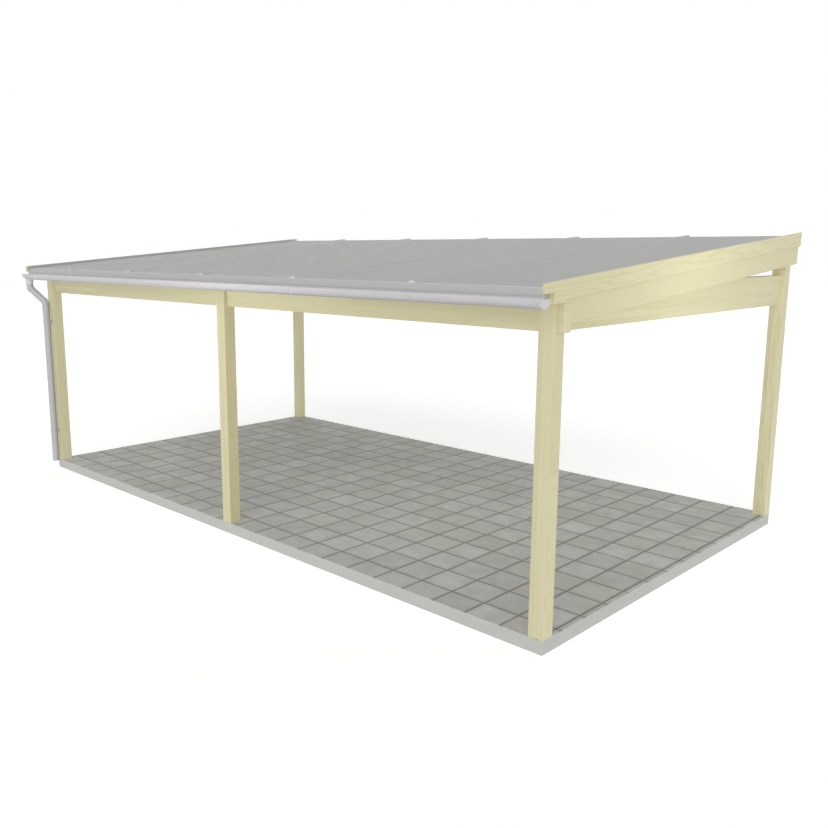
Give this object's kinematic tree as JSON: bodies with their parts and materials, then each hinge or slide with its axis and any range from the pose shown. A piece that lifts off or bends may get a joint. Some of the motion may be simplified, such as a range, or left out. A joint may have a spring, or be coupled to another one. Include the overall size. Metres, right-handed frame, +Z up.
{
  "type": "open garden room frame",
  "caption": "Open timber post-and-beam garden room frame on a paved plinth, with a sloping multi-wall sheet roof, gutter and downpipe.",
  "frame": {"origin": "ground level under the middle of the plinth", "axes": "+Z up, -Y towards the low front edge with the gutter, +X to the right seen from the front"},
  "size_m": [7.108, 4.099, 2.7481],
  "materials": {
    "concrete": "matte",
    "timber": "satin",
    "timber_trim": "satin",
    "roof_sheet": "satin",
    "aluminium": "satin",
    "gutter_plastic": "satin"
  },
  "bodies": {
    "root": {"base_slab": "concrete", "post_front_left": "timber", "post_front_middle": "timber", "post_front_right": "timber", "post_rear_left": "timber", "post_rear_right": "timber", "front_beam": "timber", "rear_beam": "timber", "tie_beam_left": "timber", "tie_beam_right": "timber", "rafter_1": "timber", "rafter_2": "timber", "rafter_3": "timber", "rafter_4": "timber", "rafter_5": "timber", "end_rafter_left": "timber", "end_rafter_right": "timber", "gable_trim_left": "timber_trim", "gable_trim_right": "timber_trim", "roof_sheet_1": "roof_sheet", "roof_sheet_2": "roof_sheet", "roof_sheet_3": "roof_sheet", "roof_sheet_4": "roof_sheet", "roof_sheet_5": "roof_sheet", "roof_sheet_6": "roof_sheet", "cover_profile_1": "aluminium", "cover_profile_2": "aluminium", "cover_profile_3": "aluminium", "cover_profile_4": "aluminium", "cover_profile_5": "aluminium", "side_profile_left": "aluminium", "side_profile_right": "aluminium", "front_edge_profile": "aluminium", "rear_edge_profile": "aluminium", "gutter": "gutter_plastic", "gutter_end_left": "gutter_plastic", "gutter_end_right": "gutter_plastic", "gutter_brackets": "gutter_plastic", "gutter_outlet": "gutter_plastic", "downpipe_neck": "gutter_plastic", "downpipe": "gutter_plastic", "downpipe_clips": "gutter_plastic"}
  },
  "joints": []
}
